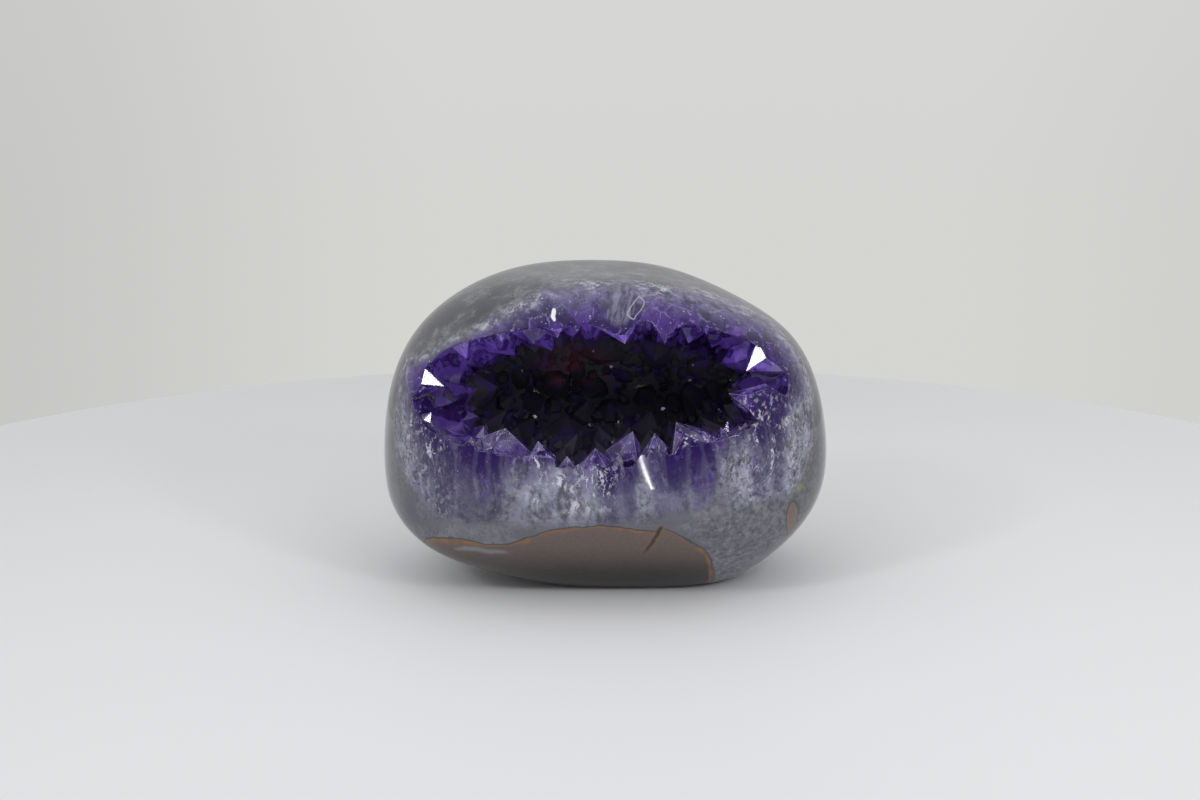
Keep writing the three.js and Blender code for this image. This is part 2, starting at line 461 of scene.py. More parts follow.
@dataclass(frozen=True)
class EdgePoint:
    """A point that stands out along the opening's edge: its tip, and half the crystal's width.

    One face of some of them looks in a known direction, where it catches the light.
    """

    tip: Triple
    radius: float
    look: Triple | None = None


@dataclass(frozen=True)
class Crop:
    """Crystals of one size, set wherever there is room, with tips so far behind the space's oval."""

    radius: float
    tries: int
    behind: float = 0.0


@dataclass(frozen=True)
class Growth:
    """How the crystals of the crust are set out."""

    edge_points: tuple[EdgePoint, ...] = (
        EdgePoint((-39, -32.5, 41.2), 4.6),
        EdgePoint((-31.5, -37.2, 42.3), 4.6),
        EdgePoint((-23.4, -38.8, 44.7), 5.8),
        EdgePoint((-15.7, -40, 41.9), 4),
        EdgePoint((-8.9, -41.2, 38.6), 4.4),
        EdgePoint((-2.4, -41, 40.4), 4.2),
        EdgePoint((6.4, -40, 44.2), 5),
        EdgePoint((16.6, -39, 46.2), 6),
        EdgePoint((22.8, -38.8, 44), 5),
        EdgePoint((29, -34, 52), 6),
        EdgePoint((33.5, -27.5, 56), 6.4, look=(-0.37, -0.845, 0.387)),
        EdgePoint((-41.5, -27.5, 46), 6, look=(0.356, -0.869, 0.345)),
        EdgePoint((-38.5, -26, 52), 6.6, look=(0.354, -0.873, 0.335)),
        EdgePoint((-24.5, -29, 63.3), 5),
        EdgePoint((-11.3, -29.5, 64.5), 5.6),
        EdgePoint((4.6, -30.5, 63.2), 5.4),
        EdgePoint((14, -30, 63.2), 5),
        EdgePoint((24, -27.5, 64.8), 5.4),
    )
    late_points: tuple[EdgePoint, ...] = (EdgePoint((11.5, -40, 43.8), 4.4),)
    crops: tuple[Crop, ...] = (
        Crop(5.8, 4000),
        Crop(4.2, 4000),
        Crop(3.0, 5000, behind=1.2),
        Crop(2.1, 12000, behind=2.0),
        Crop(1.4, 26000, behind=2.8),
        Crop(1.1, 24000, behind=4.0),
    )
    seed: int = 11
    # How close tips stand, as a share of their radii together, how far they may lie inside the other space,
    # and how far outside the polish.
    closeness: float = 0.64
    seam_overlap: float = 1.0
    rim_margin: float = 2.0
    # How much crystals differ: in size, tip depth, direction, width to thickness, peak and pyramid.
    radius_spread: float = 0.2
    tip_spread: float = 1.8
    lean: float = 0.3
    stretch_spread: float = 0.2
    peak_spread: float = 0.3
    shoulder_spread: float = 0.22
    # The shortest crystal in pyramid heights, the steps of its length, and the quartz behind its foot.
    shortest: float = 1.5
    length_step: float = 0.5
    foot_cover: float = 1.5

    def length(self, tip: np.ndarray, axis: np.ndarray, radius: float) -> float:
        """How long a crystal is, so that its foot stops short of the hollow's wall.

        Args:
            tip: The crystal's tip.
            axis: The direction that it points in.
            radius: Half its width.

        Returns:
            The length from tip to foot.
        """
        length = self.shortest * Crystal.TIP_RATIO * radius
        while True:
            foot = tip - axis * (length + self.foot_cover)
            if not HOLLOW.holds(foot) or foot[2] <= HOLLOW_FLOOR:
                return length
            length += self.length_step

    def draw(self, random: SeededRandom, space: Oval, tip: np.ndarray, radius: float) -> Crystal:
        """Draws everything that differs from one crystal to the next.

        Args:
            random: The run of numbers.
            space: The oval that the crystal points into.
            tip: The crystal's tip.
            radius: Half its width.

        Returns:
            The crystal.
        """
        axis = space.inward(tip) + np.array([random.signed() for _ in range(3)]) * self.lean
        axis /= np.linalg.norm(axis)
        return Crystal(
            tip=tip,
            axis=axis,
            radius=radius,
            length=self.length(tip, axis, radius),
            twist=random.share() * math.pi,
            stretch=1 + self.stretch_spread * random.signed(),
            peak=tuple(self.peak_spread * radius * random.signed() for _ in range(2)),
            shoulders=tuple(1 + self.shoulder_spread * random.signed() for _ in range(Crystal.SIDES)),
        )

    def crystals(self) -> list[Crystal]:
        """Every crystal of the crust. Each crop fills the room that the larger ones leave."""
        random = SeededRandom(self.seed)
        grown = []
        for point in self.edge_points:
            crystal = self.draw(random, MOUTH, np.array(point.tip, float), point.radius)
            grown.append(crystal.turned(point.look) if point.look else crystal)
        tips = np.array([crystal.tip for crystal in grown])
        radii = np.array([crystal.radius for crystal in grown])
        for crop in self.crops:
            for attempt in range(crop.tries):
                space, other = SPACES[attempt % 2], SPACES[(attempt + 1) % 2]
                up = 2 * random.share() - 1
                turn = 2 * math.pi * random.share()
                across = math.sqrt(1 - up * up)
                unit = np.array([[across * math.cos(turn), across * math.sin(turn), up]])
                radius = crop.radius * (1 + self.radius_spread * random.signed())
                tip = space.place(unit, crop.behind + self.tip_spread * random.signed())
                apart = np.linalg.norm(tips - tip, axis=1)
                crowded = (apart < self.closeness * (radii + radius)).any()
                if crowded or other.holds(tip[0], crop.behind - self.seam_overlap):
                    continue
                if FORM.outside(tip)[0] > self.rim_margin:
                    continue
                grown.append(self.draw(random, space, tip[0], radius))
                tips = np.vstack([tips, tip])
                radii = np.append(radii, radius)
        for point in self.late_points:
            grown.append(self.draw(random, MOUTH, np.array(point.tip, float), point.radius))
        return grown


# ---- Shader expressions ------------------------------------------------------------------------------


def operator(operation: str, reflected: bool = False) -> Callable[[Term, TermLike], Term]:
    """A method of Term that adds a Math node.

    Args:
        operation: The node's operation.
        reflected: Whether the term itself is the second value.

    Returns:
        The method.
    """

    def method(term: Term, other: TermLike) -> Term:
        """The node's result."""
        return term.joined(operation, *((other, term) if reflected else (term, other)))

    return method


class Term:
    """A node's output as a term of an expression, whose operators and methods add further nodes."""

    __add__ = operator("ADD")
    __radd__ = operator("ADD", reflected=True)
    __sub__ = operator("SUBTRACT")
    __rsub__ = operator("SUBTRACT", reflected=True)
    __mul__ = operator("MULTIPLY")
    __rmul__ = operator("MULTIPLY", reflected=True)
    __truediv__ = operator("DIVIDE")
    __rtruediv__ = operator("DIVIDE", reflected=True)
    __pow__ = operator("POWER")
    least = operator("MINIMUM")
    most = operator("MAXIMUM")

    def __init__(self, shader: Shader, socket: bpy.types.NodeSocket) -> None:
        """Wraps an output of a node in a shader."""
        self.shader = shader
        self.socket = socket

    def joined(self, operation: str, first: TermLike, second: TermLike = 0.0) -> Term:
        """A Math node, or a Vector Math node where a term is a colour or vector.

        Args:
            operation: The node's operation.
            first: Its first value.
            second: Its second value.

        Returns:
            The node's result.
        """
        both = [t for t in (first, second) if isinstance(t, Term)]
        wide = any(t.socket.type in {"VECTOR", "RGBA"} for t in both)
        kind = "ShaderNodeVectorMath" if wide else "ShaderNodeMath"
        return self.shader.node(kind, {"operation": operation}, {0: first, 1: second})

    def size(self) -> Term:
        """The term without its sign."""
        return self.joined("ABSOLUTE", self)

    def length(self) -> Term:
        """A vector's length."""
        return self.shader.node("ShaderNodeVectorMath", {"operation": "LENGTH"}, {0: self}, "Value")

    def parts(self) -> tuple[Term, Term, Term]:
        """A vector's three parts."""
        split = self.shader.add("ShaderNodeSeparateXYZ", {}, {0: self})
        return tuple(Term(self.shader, split.outputs[i]) for i in range(3))

    def rise(self, low: float, high: float) -> Term:
        """A smooth step.

        Args:
            low: The value at which it is 0.
            high: The value at which it is 1, which may be the lower one.

        Returns:
            A share from 0 to 1.
        """
        if low > high:
            return 1.0 - self.rise(high, low)
        inputs = {"Value": self, "From Min": low, "From Max": high}
        return self.shader.node("ShaderNodeMapRange", {"interpolation_type": "SMOOTHSTEP"}, inputs)

    def near(self, value: float, width: float) -> Term:
        """1 where the term is at a value, falling smoothly to 0 at a distance from it."""
        return (self - value).size().rise(width, 0.0)

    def blend(self, first: TermLike, second: TermLike) -> Term:
        """The first colour where this share is 0, turning into the second where it is 1."""
        return self.shader.node("ShaderNodeMix", {"data_type": "RGBA"}, {0: self, 6: first, 7: second})

    def turned(self, tilt: float) -> Term:
        """A vector along the axes of a form whose right end is lifted by so many degrees."""
        inputs = {"Vector": self, "Axis": (0.0, 1.0, 0.0), "Angle": math.radians(tilt)}
        return self.shader.node("ShaderNodeVectorRotate", {"rotation_type": "AXIS_ANGLE"}, inputs)

    def clouds(self, width: float, detail: float = 3.0, roughness: float = 0.5) -> Term:
        """Soft noise about a half, read at a place, with patches of a width and so many finer layers."""
        inputs = {"Vector": self, "Scale": 1 / width, "Detail": detail, "Roughness": roughness}
        return self.shader.node("ShaderNodeTexNoise", {}, inputs)

    def swing(self, amount: float) -> Term:
        """A noise turned into a number about 0, times an amount."""
        return (self - 0.5) * amount

    def shift(self, width: float, amount: float) -> Term:
        """A wandering vector, read at a place, with waves of a width and up to an amount each way."""
        inputs = {"Vector": self, "Scale": 1 / width, "Detail": 2.0}
        return self.shader.node("ShaderNodeTexNoise", {}, inputs, "Color").swing(2 * amount)

    def moved(self, *waves: tuple[float, float]) -> Term:
        """A place moved about by waves, so that borders waver.

        Args:
            waves: The width of each wave and how far it moves things.

        Returns:
            The moved place.
        """
        total = self
        for width, amount in waves:
            total = total + self.shift(width, amount)
        return total

    def cells(self, width: float, feature: str, output: str) -> Term:
        """One output of a pattern of cells of a width, read at a place."""
        inputs = {"Vector": self, "Scale": 1 / width}
        return self.shader.node("ShaderNodeTexVoronoi", {"feature": feature}, inputs, output)

    def tones(self, width: float) -> tuple[Term, Term, Term]:
        """Three numbers of each cell's own, from 0 to 1."""
        return self.cells(width, "F1", "Color").parts()

    def border(self, width: float) -> Term:
        """Distance from the nearest border between cells of a width."""
        return self.cells(width, "DISTANCE_TO_EDGE", "Distance") * width

    def bumps(self, depth: float) -> Term:
        """The normal of a relief, of which this is the height and 1 stands for a depth in millimetres."""
        inputs = {"Distance": depth * METRES, "Height": self}
        return self.shader.node("ShaderNodeBump", {}, inputs, "Normal")


TermLike = Term | float | Sequence[float]


class Shader:
    """One material's node tree, made from expressions."""

    def __init__(self, name: str) -> None:
        """Starts an empty material.

        Args:
            name: The material's name.
        """
        self.material = bpy.data.materials.new(name)
        self.material.use_nodes = True
        self.tree = self.material.node_tree
        self.tree.nodes.clear()

    @classmethod
    def over(cls, tree: bpy.types.NodeTree) -> Shader:
        """A shader made in a tree that is there already.

        Args:
            tree: The tree, which is emptied.

        Returns:
            The shader.
        """
        shader = cls.__new__(cls)
        shader.tree = tree
        tree.nodes.clear()
        return shader

    def add(
        self, kind: str, settings: Mapping[str, object], inputs: Mapping[str | int, TermLike]
    ) -> bpy.types.Node:
        """Adds a node, sets it and fills its sockets.

        Args:
            kind: The node's type.
            settings: Its properties.
            inputs: The value or term of each socket, by name or number.

        Returns:
            The node.
        """
        node = self.tree.nodes.new(kind)
        for name, setting in settings.items():
            setattr(node, name, setting)
        for key, value in inputs.items():
            socket = node.inputs[key]
            if isinstance(value, Term):
                self.tree.links.new(value.socket, socket)
            elif isinstance(value, (int, float)) and socket.type == "VECTOR":
                socket.default_value = (value,) * 3
            elif socket.type == "RGBA" and not isinstance(value, (int, float)):
                socket.default_value = (*value, 1.0)
            else:
                socket.default_value = value
        return node

    def node(
        self,
        kind: str,
        settings: Mapping[str, object],
        inputs: Mapping[str | int, TermLike],
        output: str | int = 0,
    ) -> Term:
        """Adds a node and gives one of its outputs as a term.

        Args:
            kind: The node's type.
            settings: Its properties.
            inputs: The value or term of each socket.
            output: The wanted output, by name or number.

        Returns:
            The output.
        """
        made = self.add(kind, settings, inputs)
        if kind == "ShaderNodeMix" and made.data_type == "RGBA":
            output = 2
        return Term(self, made.outputs[output])

    def place(self) -> Term:
        """The point on the surface, in millimetres."""
        return self.node("ShaderNodeTexCoord", {}, {}, "Object") * (1 / METRES)

    def edges(self, width: float) -> Term:
        """Finds a solid's sharp edges.

        Args:
            width: How far from the edge it reaches, in millimetres.

        Returns:
            1 along the edges and 0 elsewhere.
        """
        rounded = self.node("ShaderNodeBevel", {"samples": 6}, {"Radius": width * METRES}, "Normal")
        flat = self.node("ShaderNodeNewGeometry", {}, {}, "Normal")
        product = {"operation": "DOT_PRODUCT"}
        turn = self.node("ShaderNodeVectorMath", product, {0: rounded, 1: flat}, "Value")
        return turn.rise(0.99, 0.90)

    def principled(self, inputs: Mapping[str | int, TermLike]) -> Term:
        """A Principled BSDF."""
        return self.node("ShaderNodeBsdfPrincipled", {}, inputs)

    def mixed(self, share: TermLike, first: Term, second: Term) -> Term:
        """The first shader where a share is 0, turning into the second where it is 1."""
        return self.node("ShaderNodeMixShader", {}, {0: share, 1: first, 2: second})

    def finished(self, surface: Term, volume: Term | None = None) -> bpy.types.Material:
        """Joins the shaders to the output.

        Args:
            surface: The surface's shader.
            volume: The inside's shader.

        Returns:
            The material.
        """
        inputs: dict[str | int, TermLike] = {"Surface": surface}
        if volume is not None:
            inputs["Volume"] = volume
        self.add("ShaderNodeOutputMaterial", {}, inputs)
        return self.material


# ---- Finishes ----------------------------------------------------------------------------------------


@dataclass(frozen=True)
class Behind:
    """How a place lies to an oval: how far outside it, and from which point of the oval.

    The foot is that point, as a vector from the oval's middle along the oval's own axes.
    """

    distance: Term
    foot: Term

    @classmethod
    def of(cls, oval: Oval, place: Term) -> Behind:
        """Measures from an oval to a place.

        Args:
            oval: The oval.
            place: The place on the surface, in millimetres.

        Returns:
            The distance, which is below 0 inside the oval, and the foot.
        """
        lows, highs = (oval.left, oval.front, oval.down), (oval.right, oval.back, oval.up)
        total: TermLike = 0.0
        slopes: dict[str | int, TermLike] = {}
        out = place - oval.middle
        if oval.tilt:
            out = out.turned(oval.tilt)
        for i, (part, low, high) in enumerate(zip(out.parts(), lows, highs)):
            share = (part / high).most(part / -low)
            total = share**oval.power + total
            sign = place.shader.node("ShaderNodeMath", {"operation": "GREATER_THAN"}, {0: part, 1: 0.0})
            slopes[i] = share ** (oval.power - 1) * (sign * (1 / high + 1 / low) - 1 / low)
        slope = place.shader.node("ShaderNodeCombineXYZ", {}, slopes)
        steepness = slope.length()
        level = total ** (1 / oval.power)
        distance = (level - 1.0) * level ** (oval.power - 1) / steepness
        return cls(distance, out - slope / steepness * distance)


def outside(oval: Oval, place: Term) -> Term:
    """How far a place lies outside an oval, in millimetres, or below 0 in it."""
    return Behind.of(oval, place).distance


@dataclass(frozen=True)
class Stretch:
    """A stretch from left to right, by its middle and half its width."""

    middle: float
    half: float

    # The core's half width, as a share of the stretch's.
    CORE = 0.4

    def share(self, x: Term) -> Term:
        """1 in the stretch's core, falling to 0 at its ends."""
        return (x - self.middle).size().rise(self.half, self.half * self.CORE)


def on_any(stretches: Sequence[Stretch], x: Term) -> Term:
    """1 on any of some stretches, falling to 0 at their ends.

    Args:
        stretches: The stretches.
        x: The place from left to right.

    Returns:
        The share.
    """
    total: TermLike = 0.0
    for stretch in stretches:
        total = stretch.share(x) + total
    return total.least(1.0)


@dataclass(frozen=True)
class CrustPlace:
    """A place in the crust's cut face, and how it lies to the columns that end in the tips.

    Attributes:
        at: The place itself.
        drawn: The place in a pattern that is drawn out along the columns.
        through: 0 at the tips and 1 at the quartz's end.
        low: 1 under the opening and 0 over it.
        border: Distance from a column's border, in millimetres.
        tones: Three numbers of each column's own, from 0 to 1.
        patches: Wide soft noise.
    """

    at: Term
    drawn: Term
    through: Term
    low: Term
    border: Term
    tones: tuple[Term, Term, Term]
    patches: Term


@dataclass(frozen=True)
class SectionPaint:
    """The minerals in the polish: amethyst behind the tips, then quartz, chalcedony and brown rock."""

    # The quartz ends at an oval, at a slope on the upper left, and at a level under the hollow.
    quartz_end: Oval = replace(HOLLOW, up=31.5)
    slope_point: Triple = (-50.4, 0.0, 55.1)
    slope_facing: Triple = (-0.470, 0.0, 0.882)
    quartz_floor: float = 22.0
    floor_rise: float = 4.0

    # The columns' width, how fast patterns change along them compared with across, and their faces' width.
    column_width: float = 5.4
    column_draw: float = 0.38
    facet_width: float = 3.6

    # How far violet reaches, as a share of the way from the tips to the quartz's end: how much less under
    # the opening, how much more in the bays and in patches, and the least.
    violet_cut: float = 0.62
    bay_reach: float = 0.60
    patch_reach: float = 0.9
    least_reach: float = 0.12

    # The bays, where violet reaches farther down, the stretches where the quartz is fibrous, and a dark
    # blotch in it.
    violet_bays: tuple[Stretch, ...] = (Stretch(-36, 16), Stretch(18, 10), Stretch(3, 6), Stretch(39, 6))
    white_bundles: tuple[Stretch, ...] = (Stretch(-9, 15), Stretch(-43, 7), Stretch(40, 8))
    blotch: Oval = Oval((26, -36, 30), left=5, right=5, front=10, back=10, down=6, up=6, power=2)

    # Painted reflections in the polish over the opening: a barred grey pane, a bright outline of a face and
    # a small glint.
    painted_barred_reflection: Oval = Oval(
        (3.6, -25, 71.5), left=4.4, right=3.6, front=14, back=14, down=4.5, up=6, power=2, tilt=-14
    )
    painted_outline_highlight: Oval = Oval(
        (7.2, -26, 71.0), left=1.0, right=1.0, front=9, back=9, down=2.5, up=2.5, power=9, tilt=-36
    )
    painted_glint_face: Oval = Oval(
        (-12.2, -27, 69.6), left=0.45, right=0.45, front=9, back=9, down=1.5, up=1.3, power=3, tilt=8
    )

    # The brown rock at the front, with its spots, a pale streak that is a painted reflection, and the crack
    # that shifts its edge.
    brown: Oval = Oval(
        (-8, -30, 0), left=38.5, right=34.5, front=40, back=32, down=40, up=21.5, power=3.2
    )
    side_spot: Oval = Oval(
        (45.0, -20, 19.5), left=1.5, right=1.6, front=12, back=12, down=5.5, up=5, power=2
    )
    yellow_spot: Oval = Oval(
        (46.8, -24, 27), left=0.9, right=0.9, front=3, back=3, down=1.2, up=1.2, power=2
    )
    painted_reflection_streak: Oval = Oval(
        (-29.5, -36, 13.8), left=6.5, right=6, front=6, back=6, down=0.7, up=0.7, power=2
    )
    crack_top: Triple = (13.5, 0.0, 22.2)
    crack_facing: Triple = (0.902, 0.0, -0.434)
    crack_foot: float = 12.0
    fault_lift: float = 1.4
    dip_middle: float = -26.0
    dip_width: float = 18.0
    dip: float = 5.0

    # How strongly each mark covers what is under it.
    fibre_cover: float = 0.85
    outline_cover: float = 0.32
    glint_cover: float = 0.8
    barred_reflection_cover: float = 0.48
    outline_highlight_cover: float = 0.38
    reflection_cover: float = 0.7
    orange_cover: float = 0.7
    edge_cover: float = 0.8
    yellow_cover: float = 0.4
    crack_glow: float = 0.5
    crack_cover: float = 0.95

    amethyst_deep: Triple = (0.020, 0.006, 0.085)
    amethyst: Triple = (0.060, 0.022, 0.205)
    amethyst_pale: Triple = (0.112, 0.060, 0.295)
    edge_light: Triple = (0.400, 0.350, 0.600)
    lavender: Triple = (0.300, 0.300, 0.395)
    quartz_grey: Triple = (0.098, 0.098, 0.135)
    quartz_dark: Triple = (0.055, 0.052, 0.075)
    frost_and_glint: Triple = (0.720, 0.720, 0.780)
    painted_highlight_colour: Triple = (0.900, 0.900, 0.950)
    chalcedony_dark: Triple = (0.104, 0.106, 0.124)
    chalcedony: Triple = (0.154, 0.158, 0.180)
    bluish: Triple = (0.148, 0.152, 0.188)
    cloud: Triple = (0.245, 0.250, 0.265)
    brown_top: Triple = (0.148, 0.112, 0.100)
    shaded_brown: Triple = (0.024, 0.019, 0.020)
    orange: Triple = (0.320, 0.135, 0.035)
    outline: Triple = (0.038, 0.034, 0.030)
    yellow: Triple = (0.330, 0.320, 0.060)

    def colour(self, shader: Shader) -> Term:
        """The whole polish's colour.

        Args:
            shader: The shader that it is made in.

        Returns:
            The colour.
        """
        place = shader.place()
        inside = self.rim(place.moved((7, 1.8), (1.8, 0.9))).rise(1.8, -1.8)
        return self.browns(place, inside.blend(self.chalcedonies(place), self.crust(place)))

    def rim(self, at: Term) -> Term:
        """Measures from the quartz's end to a place.

        Args:
            at: The place.

        Returns:
            How far outside the quartz it lies, or below 0 in it.
        """
        x, _, z = at.parts()
        slope = (x - self.slope_point[0]) * self.slope_facing[0]
        slope = slope + (z - self.slope_point[2]) * self.slope_facing[2]
        floor = x.rise(0, 24) * self.floor_rise + self.quartz_floor
        return outside(self.quartz_end, at).most(slope).most(floor - z)

    def crust_place(self, place: Term) -> CrustPlace:
        """Places a point of the surface among the crust's columns.

        Args:
            place: The place on the surface, in millimetres.

        Returns:
            The place in the crust.
        """
        at = place.moved((9, 1.2), (2.2, 0.35))
        tips = Behind.of(MOUTH, at)
        behind = tips.distance.most(0.0)
        upright = (at - MOUTH.middle).turned(MOUTH.tilt)
        drawn = tips.foot + (upright - tips.foot) * self.column_draw
        return CrustPlace(
            at=at,
            drawn=drawn + at.shift(3.0, 0.8),
            through=behind / (behind - self.rim(at).least(-0.1)),
            low=at.parts()[2].rise(55, 43),
            border=tips.foot.border(self.column_width),
            tones=tips.foot.tones(self.column_width),
            patches=at.clouds(7.0, roughness=0.6),
        )

    def crust(self, place: Term) -> Term:
        """The crust's colour in the polish.

        Args:
            place: The place on the surface, in millimetres.

        Returns:
            The colour.
        """
        here = self.crust_place(place)
        tone, cap, _ = here.tones
        bays = on_any(self.violet_bays, here.at.parts()[0])
        reach = 1.0 - here.low * self.violet_cut + here.low * bays * self.bay_reach + cap.swing(0.08)
        reach = reach + (here.patches - 0.5) * here.low * self.patch_reach
        reach = (reach + (here.border.least(2.0) - 1.0) * here.low * 0.06).most(self.least_reach)
        facet = here.drawn.tones(self.facet_width)[0]
        streaks = here.drawn.clouds(2.2, detail=4, roughness=0.6)
        level = (facet - 0.5) * (0.95 - here.low * 0.6) + streaks.swing(1.4) + tone.swing(0.3)
        level = level + here.through.least(1.0) * 0.2 - here.low * (bays * 0.20 + 0.14) + 0.10
        level = level + (here.patches - 0.5) * here.low * 0.8
        level = level + here.at.clouds(1.0, detail=4, roughness=0.7).swing(1.1)
        violet = level.rise(0.05, 0.40).blend(self.amethyst_deep, self.amethyst)
        violet = level.rise(0.42, 0.85).blend(violet, self.amethyst_pale)
        violet = (here.border.rise(0.5, 0.1) * here.low * 0.1).blend(violet, self.lavender)
        colour = (here.through / reach).rise(1.5, 0.2).blend(self.quartz(here), violet)
        return self.faces(here.at, self.whites(here, colour))

    def quartz(self, here: CrustPlace) -> Term:
        """The quartz behind the amethyst: smooth columns with a soft glow, and speckled ends.

        Args:
            here: The place in the crust.

        Returns:
            The colour.
        """
        soft = here.drawn.clouds(3.0, roughness=0.6)
        blot = here.at.clouds(3.5, roughness=0.6)
        grain = here.at.clouds(0.9, roughness=0.7)
        level = soft.swing(1.8) + blot.swing(2.2) + here.tones[2].swing(0.3) + grain.swing(1.6)
        level = level + here.border.rise(0.8, 0.1) * 0.15 + 0.52
        colour = level.rise(0.0, 1.0).blend(self.quartz_grey, self.lavender)
        x, _, z = here.at.parts()
        blotch = outside(self.blotch, here.at).rise(2, -3)
        dim = (x.near(-31, 15) * 0.30 + blotch * 0.40 + z.rise(30, 25) * 0.22) * here.low
        colour = colour * (1.0 - dim)
        speckled = (x.rise(20, 32) + x.rise(-30, -40) + blotch).least(1.0)
        dark = here.at.clouds(1.6, detail=4, roughness=0.65).rise(0.47, 0.38) * speckled * here.low
        colour = (dark * 0.75).blend(colour, self.quartz_dark)
        light = here.at.clouds(1.2, detail=4, roughness=0.7).rise(0.52, 0.64) * speckled * here.low
        return (light * (1.0 - blotch) * 0.4).blend(colour, self.frost_and_glint)

    def whites(self, here: CrustPlace, under: Term) -> Term:
        """Lays the white flaws over a colour: fibres below, and a fringe and outlines above; then painted
        glints along the lip and over the polish.

        Args:
            here: The place in the crust.
            under: The colour beneath.

        Returns:
            The colour.
        """
        at, low, through = here.at, here.low, here.through
        high = 1.0 - low
        bundles = on_any(self.white_bundles, at.parts()[0])
        fibres = (here.drawn + at.shift(1.6, 0.7)).clouds(1.5, detail=4, roughness=0.75)
        below = fibres.rise(0.51, 0.60) * (here.border.rise(1.3, 0.2) * 0.6 + 0.5)
        below = below * (bundles * 0.9 + 0.1) * low
        below = below * through.rise(0.02, 0.15) * through.rise(1.0, 0.55) * here.patches.rise(0.42, 0.56)
        fringe = fibres.rise(0.44, 0.60) * through.near(1.0, 0.24) * high * here.patches.rise(0.40, 0.58)
        # Painted glints along the lip of the opening.
        lip_glints = at.clouds(1.0).rise(0.55, 0.61) * through.near(0.03, 0.16) * low
        white = (below + fringe).most(lip_glints).least(1.0)
        colour = (white * self.fibre_cover).blend(under, self.frost_and_glint)
        outline = here.drawn.border(self.facet_width).rise(0.24, 0.05) * at.clouds(2.0).rise(0.50, 0.60)
        outline = outline * (1.0 - low * 0.8) * through.rise(1.0, 0.8)
        colour = (outline * self.outline_cover).blend(colour, self.edge_light)
        # Painted glints: small white specks over the polish.
        glints = at.clouds(0.8, detail=4, roughness=0.7) + high * 0.045
        glints = glints.rise(0.68, 0.74) * through.rise(1.15, 0.95)
        return (glints * self.glint_cover).blend(colour, self.frost_and_glint)

    def faces(self, at: Term, under: Term) -> Term:
        """Lays the painted reflections and highlights over the opening on a colour.

        Args:
            at: The place.
            under: The colour beneath.

        Returns:
            The colour.
        """
        # Painted reflections: a barred pane, a face's bright outline and a small white glint.
        bars = (at.turned(self.painted_barred_reflection.tilt) * (1.0, 0.15, 0.15)).clouds(1.1)
        barred = bars.rise(0.42, 0.60).blend(self.quartz_dark, self.lavender)
        cover = outside(self.painted_barred_reflection, at).rise(0.8, -1.2) * self.barred_reflection_cover
        colour = cover.blend(under, barred)
        outlined = outside(self.painted_outline_highlight, at).near(0.0, 0.22) * self.outline_highlight_cover
        shining = outside(self.painted_glint_face, at).rise(0.15, -0.15)
        return outlined.most(shining).blend(colour, self.painted_highlight_colour)

    def chalcedonies(self, place: Term) -> Term:
        """The smooth grey mineral outside the quartz, with clouds in it, and painted shade towards its
        ends.

        Args:
            place: The place on the surface, in millimetres.

        Returns:
            The colour.
        """
        wide = place.clouds(12, detail=4, roughness=0.6)
        fine = place.clouds(2.6, detail=4, roughness=0.65)
        grain = place.clouds(1.6, detail=4, roughness=0.7)
        x, _, z = place.parts()
        high = z.rise(26, 38)
        base = wide.rise(0.38, 0.6).blend(self.chalcedony_dark, self.chalcedony)
        base = ((1.0 - high) * 0.6).blend(base, self.bluish)
        milk = (fine * 0.6 + wide * 0.4).rise(0.49, 0.60)
        colour = (milk * (high * 0.40 + 0.45)).blend(base, self.cloud)
        specks = place.clouds(0.9, detail=2).rise(0.42, 0.32) * wide.rise(0.44, 0.56)
        mottled = x.rise(14, 28)
        specks = specks.most(grain.rise(0.50, 0.38) * mottled)
        colour = (specks * 0.6).blend(colour, self.quartz_dark)
        colour = (grain.rise(0.50, 0.66) * mottled * 0.7).blend(colour, self.cloud)
        # Painted shade: darker towards the left and right ends. It is also darker over the top at the right
        # and on the upper left shoulder.
        ends = x.size().rise(34, 54) * 0.42
        top = z.rise(64, 76) * 0.12 * x.rise(0, 10)
        shoulder = z.rise(60, 70) * 0.2 * x.rise(-8, -20)
        return colour * (1.0 - ends) * (1.0 - top - shoulder)

    def browns(self, place: Term, under: Term) -> Term:
        """Lays the brown rock over a colour, with its orange and dark outline, and a pale painted
        reflection on it.

        Args:
            place: The place on the surface, in millimetres.
            under: The colour beneath.

        Returns:
            The colour.
        """
        wander = place.moved((10, 1.3), (1.6, 0.3))
        off, run = self.crack(place)
        edge = self.brown_edge(place, wander, off)
        height = wander.parts()[2]
        # Painted darker towards the bottom, where the stone turns under: the rock's own brown with painted
        # shade.
        brown = height.rise(18, 4).blend(self.brown_top, self.shaded_brown)
        brown = brown * (place.clouds(1.2, detail=5, roughness=0.7) * 0.5 + 0.75)
        # A pale streak over the brown: a painted reflection.
        reflection_streak = outside(self.painted_reflection_streak, wander).rise(0.6, -0.5)
        brown = (reflection_streak * self.reflection_cover).blend(brown, self.cloud)
        width = place.clouds(8, detail=1).rise(0.3, 0.7) * 0.8 + 0.25
        warm = (edge * -1.0 / width).near(0.6, 1.0) * place.clouds(3).rise(0.32, 0.6)
        brown = (warm * self.orange_cover).blend(brown, self.orange)
        colour = edge.rise(0.1, -0.1).blend(under, brown)
        colour = (edge.near(0.18, 0.34) * self.edge_cover).blend(colour, self.outline)
        yellow = outside(self.yellow_spot, wander).rise(0.5, -0.5)
        colour = (yellow * self.yellow_cover).blend(colour, self.yellow)
        colour = (off.size().rise(1.3, 0.3) * run * self.crack_glow).blend(colour, self.orange)
        return (off.size().rise(0.70, 0.20) * run * self.crack_cover).blend(colour, self.outline)

